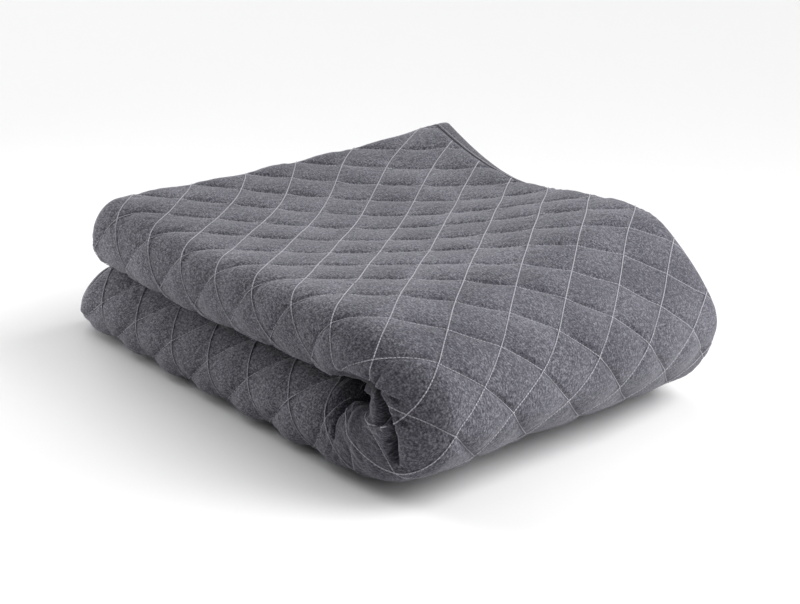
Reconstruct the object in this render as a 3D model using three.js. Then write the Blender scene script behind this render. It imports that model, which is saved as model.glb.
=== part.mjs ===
// A quilted throw, folded in four across its width and then in half, lying flat on a surface.
// Millimetres, +Z up. +X runs from the loose ends to the turn, -Y is the side of the long
// rolled folds and +Y the side of the hems. The origin is under the middle of the folded throw.
import * as THREE from 'three';

// The throw laid out flat: u runs along its length, v across its width.
const THROW_LENGTH = 1300;
const THROW_WIDTH = 1700;
const BINDING_WIDTH = 12;
const BINDING_THICK = 1.2;
const SEWN_GAP = 0.7;

// Quilting: square diamonds standing on their points.
const DIAMOND = 72;              // diagonal of one diamond
const FIRST_CROSSING_U = 2.21;   // diamonds from crossing 0 to the end of the throw
const FIRST_CROSSING_V = 2.9;    // diamonds from crossing 0 to the hem
const PUFF_HALF = 7;             // half thickness in the middle of a diamond
const STITCH_HALF = 2.4;         // half thickness along a row of stitches
const EDGE_HALF = 2;             // half thickness inside the binding

// Folding in four: four layers, the outer one wrapped round the inner two on the fold side.
const PITCH = 21;                // from one layer to the next
const TOP_LAYER_WIDTH = 400;     // flat part of the outer layer, hem to fold
const BACK_FOLD_Y = 387;         // where the inner pair of layers turns on the hem side
const INNER_FOLD_Y = 20;         // where it turns on the fold side
const ROLL_STRETCH = 0.98;       // how far the roll stands out against its half height
const CORE_LAYERS = 3.42;        // pitches from the outer layer to the middle of the stack

// Folding in half: the turn is a curve from the top layer down to the bottom layer.
const TURN_TOP_HANDLE = 225;     // length of the curve's handle at its top
const TURN_BOTTOM_HANDLE = 206;
const TURN_CORE = 40;            // how far the innermost layer reaches into the turn
const CURVE_STEPS = 240;

// Edges: the layers curl together at the loose ends, and the outer layer's hem curls down.
const END_CURL = { reach: 30, bend: 43 };          // length of cloth that curls, degrees at its edge
const HEM_CURL = { reach: 26, bend: 60 };
const HEM_CURL_SHARE = { looseEnds: 0.2, turn: 1, underneath: 0.15 };
const HEM_CURL_U = { rise: 0, risen: 400, fall: 780, fallen: 880 };

// The crease at the turn, where the gap between the rolls runs out: its path on the flat throw.
const CORNER_CREASE = [
  { u: 520, v: 490, deep: 8 },
  { u: 560, v: 467, deep: 18 },
  { u: 600, v: 450, deep: 21 },
  { u: 650, v: 447, deep: 19 },
  { u: 694, v: 430, deep: 3 },
];
const CORNER_CREASE_HALF = 15;
const CORNER_ZONE = { from: 490, to: 730 };      // the roll has closer points here

// Settling: how the soft stack leans, spreads and sags.
const ROLL_SPLAY_REACH = 90;     // how far in from the fold side the outer faces stand out
const LOWER_END_REACH = 84;      // the lower half sticks out past the upper one at the loose ends
const LOWER_END_LENGTH = 500;
const END_STRETCH = 20;          // both halves are drawn out at the loose ends
const END_STRETCH_X = { none: -200, full: -490 };
const NOSE_TAPER = { bottom: 0.535, top: 0.245 };   // the turn is shorter towards the hem side
const NOSE_TAPER_Y = { none: -40, full: 410 };
const NOSE_BULGE = 22;           // the turn spreads at its foot, near the fold side
const NOSE_BULGE_X = { none: 0, full: 100 };
const NOSE_BULGE_Y = { middle: 20, half: 65 };
const CORNER_PULL = 80;          // the upper back corner is pulled out towards the hem side
const CORNER_DRAW = 15;          // and drawn back towards the turn
const CORNER_X = { none: -150, full: -490 };
const CORNER_Y = { none: 220, full: 410 };
const HEM_DROP = 0.09;           // share of the height lost along the hem at the turn
const HEM_DROP_X = { none: -40, full: 90 };
const HEM_DROP_Y = { none: 352, full: 407 };
const ROLL_DROOP_Y = { full: -33, none: 10 };
const STACK_X = { looseEnds: -490, middle: -245, turn: 0, nose: 130 };
const ROLL_SPLAY = { looseEnds: 7, middle: 12.4, turn: 13, nose: 20 };   // outer faces past the gap
const ROLL_DROOP = { looseEnds: 10, middle: 8, turn: 4, nose: 19 };      // the gap below mid height
const STACK_HEIGHT = [
  { y: -30, looseEnds: 177, middle: 160, turn: 162, nose: 163 },   // fold side
  { y: 180, looseEnds: 188, middle: 162, turn: 172, nose: 166 },   // middle
  { y: 330, looseEnds: 204, middle: 176, turn: 192, nose: 159 },   // shoulder
  { y: 412, looseEnds: 228, middle: 193, turn: 197, nose: 156 },   // hem side
];

const FOLD_STEPS = 6;            // rows round a tight fold
const FABRIC_COLOR = 0x76757d;
const BINDING_COLOR = 0x6d6c74;

const CORE = PUFF_HALF + CORE_LAYERS * PITCH;
const NOMINAL_HEIGHT = 2 * CORE;
const { clamp, degToRad, lerp, smoothstep } = THREE.MathUtils;

// 0 at the first place, 1 at the second, bending upwards in between.
const rampUp = ({ none, full }, at) => clamp((at - none) / (full - none), 0, 1) ** 2;

// A smooth curve through the values at increasing stations, level beyond both ends.
function smoothThrough(stations, values, at) {
  const last = stations.length - 1;
  const x = clamp(at, stations[0], stations[last]);
  let k = 0;
  while (k < last - 1 && x > stations[k + 1]) k += 1;
  const slope = (i) => {
    const before = Math.max(i - 1, 0);
    const after = Math.min(i + 1, last);
    return (values[after] - values[before]) / (stations[after] - stations[before]);
  };
  const span = stations[k + 1] - stations[k];
  const t = (x - stations[k]) / span;
  const rise = t * t * (3 - 2 * t);
  const leave = t * (1 - t) * (1 - t) * span * slope(k);
  const arrive = t * t * (t - 1) * span * slope(k + 1);
  return values[k] + (values[k + 1] - values[k]) * rise + leave + arrive;
}

// How much of a full puff stands at a place on the flat throw: 0 on a row of stitches, 1 mid diamond.
function puff(u, v) {
  const along = u / DIAMOND + FIRST_CROSSING_U;
  const across = v / DIAMOND - FIRST_CROSSING_V;
  const lift = Math.sin(Math.PI * (along - across)) * Math.sin(Math.PI * (along + across));
  return Math.sqrt(Math.abs(lift));
}

// Cloth curling over at an edge: how far it falls, and how much the edge is drawn in.
function curl(distance, { reach, bend }, share = 1) {
  const angle = degToRad(bend) * share;
  const t = Math.max(1 - distance / reach, 0);
  return {
    fall: reach * (1 - Math.cos(angle * t)) / angle,
    draw: reach * (t - Math.sin(angle * t) / angle),
  };
}

function hemCurl(u, v) {
  const { looseEnds, turn, underneath } = HEM_CURL_SHARE;
  const towardsTurn = lerp(looseEnds, turn, smoothstep(u, HEM_CURL_U.rise, HEM_CURL_U.risen));
  const share = lerp(towardsTurn, underneath, smoothstep(u, HEM_CURL_U.fall, HEM_CURL_U.fallen));
  return curl(v, HEM_CURL, share);
}

// The strip folded in four, as one path from hem to hem: y across it, depth below its outer face.
const rollHalfHeight = 1.5 * PITCH;
const middleDepth = PUFF_HALF + rollHalfHeight;
const rollReach = ROLL_STRETCH * rollHalfHeight;
const tightRadius = 0.5 * PITCH;
const rollArc = Math.PI * Math.sqrt((rollHalfHeight ** 2 + rollReach ** 2) / 2);
const tightArc = Math.PI * tightRadius;
const rollStart = TOP_LAYER_WIDTH;
const rollEnd = rollStart + rollArc;
const backStart = rollEnd + BACK_FOLD_Y;
const backEnd = backStart + tightArc;
const innerStart = backEnd + BACK_FOLD_Y - INNER_FOLD_Y;
const innerEnd = innerStart + tightArc;

// One flat layer, counted from the outer face; facing is 1 where its face looks inwards. The
// squeeze is how much of their full distance the layers keep.
function flatLayer(number, y, w, facing, squeeze) {
  return { y, depth: middleDepth + (number - 2.5) * PITCH * squeeze + facing * w };
}

function stripPath(u, v, w, squeeze) {
  if (v <= rollStart) {
    const hem = hemCurl(u, v);
    const layer = flatLayer(1, TOP_LAYER_WIDTH - v, w, -1, squeeze);
    return { y: layer.y - hem.draw, depth: layer.depth + hem.fall };
  }
  if (v <= rollEnd) {
    const angle = Math.PI * (v - rollStart) / rollArc;
    return {
      y: -(rollReach * squeeze + w) * Math.sin(angle),
      depth: middleDepth - (rollHalfHeight * squeeze + w) * Math.cos(angle),
    };
  }
  if (v <= backStart) return flatLayer(4, v - rollEnd, w, 1, squeeze);
  if (v <= backEnd) {
    const angle = Math.PI * (v - backStart) / tightArc;
    return {
      y: BACK_FOLD_Y + (tightRadius + w) * Math.sin(angle),
      depth: middleDepth + PITCH * squeeze + (tightRadius * squeeze + w) * Math.cos(angle),
    };
  }
  if (v <= innerStart) return flatLayer(3, BACK_FOLD_Y - (v - backEnd), w, -1, squeeze);
  if (v <= innerEnd) {
    const angle = Math.PI * (v - innerStart) / tightArc;
    return {
      y: INNER_FOLD_Y - (tightRadius - w) * Math.sin(angle),
      depth: middleDepth + (tightRadius * squeeze - w) * Math.cos(angle),
    };
  }
  return flatLayer(2, INNER_FOLD_Y + v - innerEnd, w, 1, squeeze);
}

// The turn of the outer layer: a cubic curve with level ends, walked by its own length.
const turnHeight = 2 * (CORE - PUFF_HALF);
const turnCurve = new THREE.CubicBezierCurve(
  new THREE.Vector2(0, turnHeight),
  new THREE.Vector2(TURN_TOP_HANDLE, turnHeight),
  new THREE.Vector2(TURN_BOTTOM_HANDLE, 0),
  new THREE.Vector2(0, 0),
);
turnCurve.arcLengthDivisions = CURVE_STEPS;
const turnLength = turnCurve.getLength();
const turnStart = (THROW_LENGTH - turnLength) / 2;
const turnEnd = turnStart + turnLength;

// The folded strip turned over in half: x along the stack, z up.
function halfTurn(u, depth) {
  const inside = (CORE - depth) / (CORE - PUFF_HALF);
  if (u < turnStart) return { x: u - turnStart, z: NOMINAL_HEIGHT - depth };
  if (u > turnEnd) return { x: turnEnd - u, z: depth };
  const walked = (u - turnStart) / turnLength;
  const outer = turnCurve.getPointAt(walked);
  const coreX = TURN_CORE * Math.sin(Math.PI * walked);
  return {
    x: coreX + (outer.x - coreX) * inside,
    z: CORE + (outer.y - turnHeight / 2) * inside,
  };
}

// The stack as it settles on the surface. The bottom layer stays flat on it.
function alongStack(row, x) {
  const values = Object.keys(STACK_X).map((place) => row[place]);
  return smoothThrough(Object.values(STACK_X), values, x);
}

function settle(x, y, z) {
  const level = z / NOMINAL_HEIGHT;
  const hemDrop = HEM_DROP * rampUp(HEM_DROP_Y, y) * smoothstep(x, HEM_DROP_X.none, HEM_DROP_X.full);
  const rowHeights = STACK_HEIGHT.map((row) => alongStack(row, x));
  const height = smoothThrough(STACK_HEIGHT.map((row) => row.y), rowHeights, y) * (1 - hemDrop);
  const rollNear = Math.exp(-Math.max(y - STACK_HEIGHT[0].y, 0) / ROLL_SPLAY_REACH);
  const splay = alongStack(ROLL_SPLAY, x) * (2 * level - 1) ** 2 * rollNear;
  const taper = x > 0 ? 1 - lerp(NOSE_TAPER.bottom, NOSE_TAPER.top, level) * rampUp(NOSE_TAPER_Y, y) : 1;
  const lowerReach = LOWER_END_REACH * (1 - level) * clamp(-x / LOWER_END_LENGTH, 0, 1);
  const stretch = END_STRETCH * rampUp(END_STRETCH_X, x);
  const cornerwards = rampUp(CORNER_X, x) * rampUp(CORNER_Y, y) * level;
  const atFoot = Math.exp(-(((y - NOSE_BULGE_Y.middle) / NOSE_BULGE_Y.half) ** 2)) * clamp(1 - level, 0, 1) ** 1.5;
  const bulge = NOSE_BULGE * smoothstep(x, NOSE_BULGE_X.none, NOSE_BULGE_X.full) * atFoot;
  const droop = alongStack(ROLL_DROOP, x) * (1 - smoothstep(y, ROLL_DROOP_Y.full, ROLL_DROOP_Y.none));
  return new THREE.Vector3(
    x * taper + bulge - lowerReach - stretch + CORNER_DRAW * cornerwards,
    y - splay + CORNER_PULL * cornerwards,
    level * height - droop * 4 * level * (1 - level),
  );
}

// How far the crease at the turn presses the roll in: fully where the roll stands out furthest.
function creaseDepth(u, v) {
  if (v <= rollStart || v >= rollEnd) return 0;
  const outwards = Math.sin(Math.PI * (v - rollStart) / rollArc) ** 2;
  let deepest = 0;
  for (let k = 0; k < CORNER_CREASE.length - 1; k += 1) {
    const [a, b] = [CORNER_CREASE[k], CORNER_CREASE[k + 1]];
    const run = new THREE.Vector2(b.u - a.u, b.v - a.v);
    const toPlace = new THREE.Vector2(u - a.u, v - a.v);
    const t = clamp(toPlace.dot(run) / run.lengthSq(), 0, 1);
    const away = toPlace.sub(run.multiplyScalar(t)).length();
    deepest = Math.max(deepest, lerp(a.deep, b.deep, t) * Math.exp(-((away / CORNER_CREASE_HALF) ** 2)));
  }
  return deepest * outwards;
}

function foldPoint(u, v, w) {
  const near = curl(u, END_CURL);
  const far = curl(THROW_LENGTH - u, END_CURL);
  const squeeze = 1 - (near.fall + far.fall) / rollHalfHeight;
  const strip = stripPath(u, v, w - creaseDepth(u, v), squeeze);
  const turned = halfTurn(u + near.draw - far.draw, strip.depth);
  return settle(turned.x, strip.y, turned.z);
}

// Half the thickness of the quilt on one face: pressed flat where the outer face lies on the surface.
const PANEL_EDGE = BINDING_WIDTH + 1;    // the sewn-down margin under the binding
function halfThickness(u, v, side) {
  const toEdge = Math.min(u, THROW_LENGTH - u, v, THROW_WIDTH - v);
  if (toEdge <= PANEL_EDGE) return EDGE_HALF;
  const quilted = STITCH_HALF + (PUFF_HALF - STITCH_HALF) * puff(u, v);
  if (side < 0) return quilted;
  const pastTurn = smoothstep(u, turnEnd - DIAMOND / 2, turnEnd);
  const beforeRoll = 1 - smoothstep(v, rollStart, rollStart + DIAMOND / 2);
  return lerp(quilted, PUFF_HALF, pastTurn * beforeRoll);
}

// Places along one side of the flat throw that fall on the quilting's half diamonds.
function quiltingStations(length, phase) {
  const stations = [];
  const step = DIAMOND / 2;
  const first = Math.ceil((PANEL_EDGE + phase * DIAMOND) / step);
  for (let k = first; k * step - phase * DIAMOND < length - PANEL_EDGE; k += 1) {
    stations.push(k * step - phase * DIAMOND);
  }
  return stations;
}

const columns = quiltingStations(THROW_LENGTH, FIRST_CROSSING_U)
  .filter((u) => u > PANEL_EDGE + 4 && u < THROW_LENGTH - PANEL_EDGE - 4);
const midColumns = columns.slice(1).map((u, k) => (u + columns[k]) / 2);

// Columns of a row on the roll: the given ones, and both kinds by the crease.
function rollColumns(given) {
  const inZone = (u) => u > CORNER_ZONE.from && u < CORNER_ZONE.to;
  const close = [...columns, ...midColumns].filter(inZone);
  return [...given.filter((u) => !inZone(u)), ...close].sort((a, b) => a - b);
}

// Rows of points across the throw: on the half diamonds, doubled round the roll, close in tight folds.
function quiltRows() {
  const tightFolds = [backStart, innerStart];
  const nearTightFold = (v) => tightFolds.some((start) => v > start - 5 && v < start + tightArc + 5);
  const onRoll = (v) => v > rollStart - DIAMOND / 4 && v < rollEnd + DIAMOND / 4;
  const halfDiamonds = quiltingStations(THROW_WIDTH, -FIRST_CROSSING_V)
    .filter((v) => v > PANEL_EDGE + 4 && v < THROW_WIDTH - PANEL_EDGE - 4 && !nearTightFold(v));
  const rows = halfDiamonds.map((v) => ({ v, inner: onRoll(v) ? rollColumns(columns) : columns }));
  for (const v of halfDiamonds.map((place) => place + DIAMOND / 4)) {
    if (onRoll(v)) rows.push({ v, inner: rollColumns(midColumns) });
  }
  for (const start of tightFolds) {
    for (let k = 0; k <= FOLD_STEPS; k += 1) {
      rows.push({ v: start + tightArc * k / FOLD_STEPS, inner: columns });
    }
  }
  for (const v of [0, PANEL_EDGE, THROW_WIDTH - PANEL_EDGE, THROW_WIDTH]) rows.push({ v, inner: columns });
  rows.sort((a, b) => a.v - b.v);
  const margin = [0, PANEL_EDGE];
  const farMargin = [THROW_LENGTH - PANEL_EDGE, THROW_LENGTH];
  return rows.map(({ v, inner }) => ({ v, places: [...margin, ...inner, ...farMargin] }));
}

// Triangles between two neighbouring rows. Where both ways to cut a cell are equally short,
// the cut follows the row of stitches.
function joinRows(a, b, addTriangle) {
  const cost = (i, j) => {
    const u = (a.places[i] + b.places[j]) / 2;
    return Math.abs(a.places[i] - b.places[j]) + puff(u, (a.v + b.v) / 2);
  };
  let i = 0;
  let j = 0;
  while (i < a.places.length - 1 || j < b.places.length - 1) {
    const aDone = i === a.places.length - 1;
    const bDone = j === b.places.length - 1;
    if (bDone || (!aDone && cost(i + 1, j) <= cost(i, j + 1))) {
      addTriangle(a.ids[i], a.ids[i + 1], b.ids[j]);
      i += 1;
    } else {
      addTriangle(a.ids[i], b.ids[j + 1], b.ids[j]);
      j += 1;
    }
  }
}

function meshOf(name, points, triangles, color) {
  const geometry = new THREE.BufferGeometry();
  geometry.setAttribute('position', new THREE.Float32BufferAttribute(points.flatMap((p) => p.toArray()), 3));
  geometry.setIndex(triangles.flat());
  geometry.computeVertexNormals();
  const material = new THREE.MeshStandardMaterial({ color, roughness: 0.95, metalness: 0 });
  const mesh = new THREE.Mesh(geometry, material);
  mesh.name = name;
  return mesh;
}

// The quilted panel: face, wadding and backing sewn together as one thick sheet.
function quiltedPanel() {
  const points = [];
  const triangles = [];
  const rows = quiltRows();
  const faceRows = (side) => rows.map(({ v, places }) => ({
    v,
    places,
    ids: places.map((u) => points.push(foldPoint(u, v, side * halfThickness(u, v, side))) - 1),
  }));
  const front = faceRows(1);
  const back = faceRows(-1);
  for (let k = 0; k < rows.length - 1; k += 1) {
    joinRows(front[k], front[k + 1], (a, b, c) => triangles.push([a, c, b]));
    joinRows(back[k], back[k + 1], (a, b, c) => triangles.push([a, b, c]));
  }
  const closeEdge = (frontIds, backIds) => {
    for (let k = 0; k < frontIds.length - 1; k += 1) {
      triangles.push([frontIds[k], frontIds[k + 1], backIds[k + 1]]);
      triangles.push([frontIds[k], backIds[k + 1], backIds[k]]);
    }
  };
  const lastRow = rows.length - 1;
  const column = (face, end) => face.map((row) => row.ids.at(end));
  closeEdge(front[0].ids, back[0].ids);
  closeEdge(column(front, -1), column(back, -1));
  closeEdge([...front[lastRow].ids].reverse(), [...back[lastRow].ids].reverse());
  closeEdge(column(front, 0).reverse(), column(back, 0).reverse());
  return meshOf('quilted_panel', points, triangles, FABRIC_COLOR);
}

// The binding: a strip of the same cloth folded round all four edges, mitred at the corners.
function edgeBinding() {
  const inside = EDGE_HALF + SEWN_GAP;
  const outside = inside + BINDING_THICK;
  const nearEdge = -SEWN_GAP;
  const farEdge = nearEdge - BINDING_THICK;
  const rounded = outside - BINDING_THICK / 2;
  const section = [
    { inset: BINDING_WIDTH, w: inside },
    { inset: nearEdge, w: inside },
    { inset: nearEdge, w: -inside },
    { inset: BINDING_WIDTH, w: -inside },
    { inset: BINDING_WIDTH, w: -outside },
    { inset: farEdge, w: -rounded },
    { inset: farEdge, w: rounded },
    { inset: BINDING_WIDTH, w: outside },
  ];
  const acrossEnd = quiltRows().map((row) => row.v).slice(1, -1);
  const acrossHem = quiltRows()[0].places.slice(1, -1);
  const near = (inset) => inset;
  const farEnd = (inset) => THROW_LENGTH - inset;
  const farHem = (inset) => THROW_WIDTH - inset;
  const corner = (atU, atV, alongLength) => ({ alongLength, place: (inset) => [atU(inset), atV(inset)] });
  const alongHem = (atV) => acrossHem.map((u) => ({ alongLength: true, place: (inset) => [u, atV(inset)] }));
  const alongEnd = (atU) => acrossEnd.map((v) => ({ alongLength: false, place: (inset) => [atU(inset), v] }));
  const stations = [
    corner(near, near, true), ...alongHem(near),
    corner(farEnd, near, false), ...alongEnd(farEnd),
    corner(farEnd, farHem, true), ...alongHem(farHem).reverse(),
    corner(near, farHem, false), ...alongEnd(near).reverse(),
  ];
  const points = stations.flatMap(({ place }) => section.map(({ inset, w }) => foldPoint(...place(inset), w)));
  const triangles = [];
  const sides = section.length;
  for (let k = 0; k < stations.length; k += 1) {
    const here = k * sides;
    const next = ((k + 1) % stations.length) * sides;
    for (let side = 0; side < sides; side += 1) {
      const after = (side + 1) % sides;
      const towardsEdge = section[side].inset > section[after].inset;
      if (towardsEdge === stations[k].alongLength) {   // cut the same way as the panel underneath
        triangles.push([here + side, here + after, next + after], [here + side, next + after, next + side]);
      } else {
        triangles.push([here + side, here + after, next + side], [here + after, next + after, next + side]);
      }
    }
  }
  return meshOf('edge_binding', points, triangles, BINDING_COLOR);
}

const foldedThrow = new THREE.Group();
foldedThrow.add(quiltedPanel(), edgeBinding());
const box = new THREE.Box3().setFromObject(foldedThrow);
const middle = box.getCenter(new THREE.Vector3());
foldedThrow.position.set(-middle.x, -middle.y, -box.min.z);
foldedThrow.updateMatrixWorld(true);

export default foldedThrow;
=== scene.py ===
import math

import bpy
import numpy as np
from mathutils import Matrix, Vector


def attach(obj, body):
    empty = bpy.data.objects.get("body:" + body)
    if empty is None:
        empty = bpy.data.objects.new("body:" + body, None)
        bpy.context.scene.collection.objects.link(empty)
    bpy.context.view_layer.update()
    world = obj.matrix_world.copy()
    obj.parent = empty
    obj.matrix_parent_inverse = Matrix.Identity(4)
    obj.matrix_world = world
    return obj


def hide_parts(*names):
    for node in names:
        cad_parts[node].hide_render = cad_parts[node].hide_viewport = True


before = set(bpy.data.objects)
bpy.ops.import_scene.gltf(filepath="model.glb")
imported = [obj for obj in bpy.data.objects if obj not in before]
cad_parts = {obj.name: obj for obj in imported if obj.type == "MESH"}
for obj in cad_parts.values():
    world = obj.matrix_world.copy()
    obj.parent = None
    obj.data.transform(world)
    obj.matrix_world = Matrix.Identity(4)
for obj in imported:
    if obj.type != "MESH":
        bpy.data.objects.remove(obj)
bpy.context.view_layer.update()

mm = 0.001


# sizes of the throw and its folds, millimetres, the same as the solids have
throwSizes = {
    "length": 1300.0,            # u runs along the throw
    "width": 1700.0,             # v runs across it, hem to hem
    "diamond": 72.0,             # diagonal of one quilted diamond
    "firstCrossingU": 2.21,      # diamonds from crossing 0 to the end of the throw
    "firstCrossingV": 2.9,       # diamonds from crossing 0 to the hem
    "puffHalf": 7.0,             # half thickness mid diamond
    "edgeHalf": 2.0,             # half thickness inside the binding
    "bindingWidth": 12.0,
}
foldSizes = {
    "pitch": 21.0,               # from one layer to the next
    "topLayerWidth": 400.0,
    "backFoldY": 387.0,          # where the inner pair of layers turns on the hem side
    "innerFoldY": 20.0,          # where it turns on the fold side
    "rollStretch": 0.98,         # reach of a rolled fold against half its height
    "coreLayers": 3.42,          # pitches from the outer layer to the middle of the stack
    "turnHandles": (225.0, 206.0),  # how far the turn swings out, from the top and the bottom
    "turnCore": 40.0,            # and how far its innermost cloth does
    "endCurl": (30.0, 43.0),     # length of cloth that curls in at the loose ends, degrees at its edge
    "hemCurl": (26.0, 60.0),     # and along the outer layer's hem
    "hemCurlShare": (0.2, 1.0, 0.15),  # at the loose ends, over the turn, underneath
    "hemCurlU": (0.0, 400.0, 780.0, 880.0),  # where it comes and goes along the throw
}
settleSizes = {
    "rollSplayReach": 90.0,           # how far in from the fold side the rolls spread
    "lowerEndReach": 84.0,            # the lower half's ends lie this much further out
    "lowerEndFrom": 500.0,            # over this length
    "endStretch": 20.0,               # the loose ends are drawn out
    "endStretchX": (-200.0, -490.0),
    "noseTaper": (0.535, 0.245),      # the turn is drawn in on the hem side: bottom, top
    "noseTaperY": (-40.0, 410.0),
    "noseBulge": 22.0,                # its foot stands out by the rolls
    "noseBulgeX": (0.0, 100.0),
    "noseBulgeY": (20.0, 65.0),       # its middle, half its width
    "noseBulgeFall": 1.5,             # how fast it dies away upwards
    "cornerPull": 80.0,               # the back corner is pulled out past the hems
    "cornerDraw": 15.0,               # and drawn in along the throw
    "cornerX": (-150.0, -490.0),
    "cornerY": (220.0, 410.0),
    "hemDrop": 0.09,                  # share of the height that the hem falls by the turn
    "hemDropX": (-40.0, 90.0),
    "hemDropY": (352.0, 407.0),
    "droopY": (10.0, -33.0),          # the gap between the rolls hangs below mid height
    "heightX": [-490, -245, 0, 130],  # loose ends, middle, turn, nose
    "rollSplay": [7, 12.4, 13, 20],   # outer faces past the gap
    "rollDroop": [10, 8, 4, 19],      # the gap below mid height
    "heightY": [-30, 180, 330, 412],  # fold side, middle, shoulder, hem side
    "heights": [
        [177, 160, 162, 163],
        [188, 162, 172, 166],
        [204, 176, 192, 159],
        [228, 193, 197, 156],
    ],
    "middle": (-182.02, 206.79),      # middle of the folded throw in the fold's own x and y
}

length, width = throwSizes["length"], throwSizes["width"]
diamond = throwSizes["diamond"]
pitch = foldSizes["pitch"]
puffHalf = throwSizes["puffHalf"]
core = puffHalf + foldSizes["coreLayers"] * pitch
nominalHeight = 2 * core
rollHalfHeight = 1.5 * pitch
middleDepth = puffHalf + rollHalfHeight
rollReach = foldSizes["rollStretch"] * rollHalfHeight
tightRadius = 0.5 * pitch
rollArc = math.pi * math.sqrt((rollHalfHeight ** 2 + rollReach ** 2) / 2)
tightArc = math.pi * tightRadius
rollStart = foldSizes["topLayerWidth"]
rollEnd = rollStart + rollArc
backStart = rollEnd + foldSizes["backFoldY"]
backEnd = backStart + tightArc
innerStart = backEnd + foldSizes["backFoldY"] - foldSizes["innerFoldY"]
innerEnd = innerStart + tightArc
panelEdge = throwSizes["bindingWidth"] + 1   # the margin that stays thin, a little wider than the binding


def smoothStep(low, high, x):
    t = np.clip((x - low) / (high - low), 0, 1)
    return t * t * (3 - 2 * t)


def rampUp(low, high, x):   # 0 at low, 1 at high, bending upwards
    return np.clip((x - low) / (high - low), 0, 1) ** 2


def smoothThrough(stations, values, at):   # a smooth curve through values at increasing stations
    stations = np.asarray(stations, float)
    values = np.asarray(values, float)
    if values.ndim == 1:
        values = values[:, None] * np.ones(len(at))
    slopes = np.empty_like(values)
    slopes[0] = (values[1] - values[0]) / (stations[1] - stations[0])
    slopes[-1] = (values[-1] - values[-2]) / (stations[-1] - stations[-2])
    slopes[1:-1] = (values[2:] - values[:-2]) / (stations[2:] - stations[:-2])[:, None]
    x = np.clip(at, stations[0], stations[-1])
    step = np.clip(np.searchsorted(stations, x, side="right") - 1, 0, len(stations) - 2)
    column = np.arange(len(x))
    span = stations[step + 1] - stations[step]
    t = (x - stations[step]) / span
    start, end = values[step, column], values[step + 1, column]
    leave = t * (1 - t) ** 2 * span * slopes[step, column]
    arrive = t * t * (t - 1) * span * slopes[step + 1, column]
    return start + (end - start) * t * t * (3 - 2 * t) + leave + arrive


# the turn's outer curve, walked by its own length
turnSteps = 2000
curveT = np.linspace(0, 1, turnSteps)
turnHeight = 2 * (core - puffHalf)
topHandle, bottomHandle = foldSizes["turnHandles"]
turnX = 3 * curveT * (1 - curveT) * (topHandle * (1 - curveT) + bottomHandle * curveT)
turnZ = turnHeight * (1 - curveT) ** 2 * (1 + 2 * curveT)
turnWalk = np.concatenate([[0], np.cumsum(np.hypot(np.diff(turnX), np.diff(turnZ)))])
turnLength = turnWalk[-1]
turnStart = (length - turnLength) / 2
turnEnd = turnStart + turnLength


def curl(distance, size, share=1.0):   # cloth curling over at an edge: its fall, and how far it draws in
    reach, angle = size[0], math.radians(size[1]) * share
    t = np.maximum(1 - distance / reach, 0)
    return reach * (1 - np.cos(angle * t)) / angle, reach * (t - np.sin(angle * t) / angle)


def hemCurl(u, v):
    ends, turn, underneath = foldSizes["hemCurlShare"]
    rise, risen, fall, fallen = foldSizes["hemCurlU"]
    share = ends + (turn - ends) * smoothStep(rise, risen, u)
    share = share + (underneath - share) * smoothStep(fall, fallen, u)
    return curl(v, foldSizes["hemCurl"], share)


def stripPath(u, v, w, squeeze):   # the strip folded in four: y across it, depth below its outer face
    rollAngle = np.pi * np.clip((v - rollStart) / rollArc, 0, 1)
    backAngle = np.pi * np.clip((v - backStart) / tightArc, 0, 1)
    innerAngle = np.pi * np.clip((v - innerStart) / tightArc, 0, 1)
    backY, innerY = foldSizes["backFoldY"], foldSizes["innerFoldY"]
    hemFall, hemDraw = hemCurl(u, v)

    def layer(number):   # depth of layers 1 to 4, counted from the outer one
        return middleDepth + (number - 2.5) * pitch * squeeze

    where = [v <= rollStart, v <= rollEnd, v <= backStart, v <= backEnd, v <= innerStart, v <= innerEnd]
    y = np.select(where, [
        rollStart - v - hemDraw,
        -(rollReach * squeeze + w) * np.sin(rollAngle),
        v - rollEnd,
        backY + (tightRadius + w) * np.sin(backAngle),
        backY - (v - backEnd),
        innerY - (tightRadius - w) * np.sin(innerAngle),
    ], innerY + v - innerEnd)
    depth = np.select(where, [
        layer(1) - w + hemFall,
        middleDepth - (rollHalfHeight * squeeze + w) * np.cos(rollAngle),
        layer(4) + w,
        layer(3.5) + (tightRadius * squeeze + w) * np.cos(backAngle),
        layer(3) - w,
        layer(2.5) + (tightRadius * squeeze - w) * np.cos(innerAngle),
    ], layer(2) + w)
    return y, depth


def halfTurn(u, depth):   # the strip turned over in half: x along the stack, z up
    inside = (core - depth) / (core - puffHalf)
    walked = np.clip(u - turnStart, 0, turnLength)
    outerX = np.interp(walked, turnWalk, turnX)
    outerZ = np.interp(walked, turnWalk, turnZ)
    coreX = foldSizes["turnCore"] * np.sin(np.pi * walked / turnLength)
    x = coreX + (outerX - coreX) * inside
    z = core + (outerZ - turnHeight / 2) * inside
    x = np.where(u < turnStart, u - turnStart, np.where(u > turnEnd, turnEnd - u, x))
    return x, z


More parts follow.
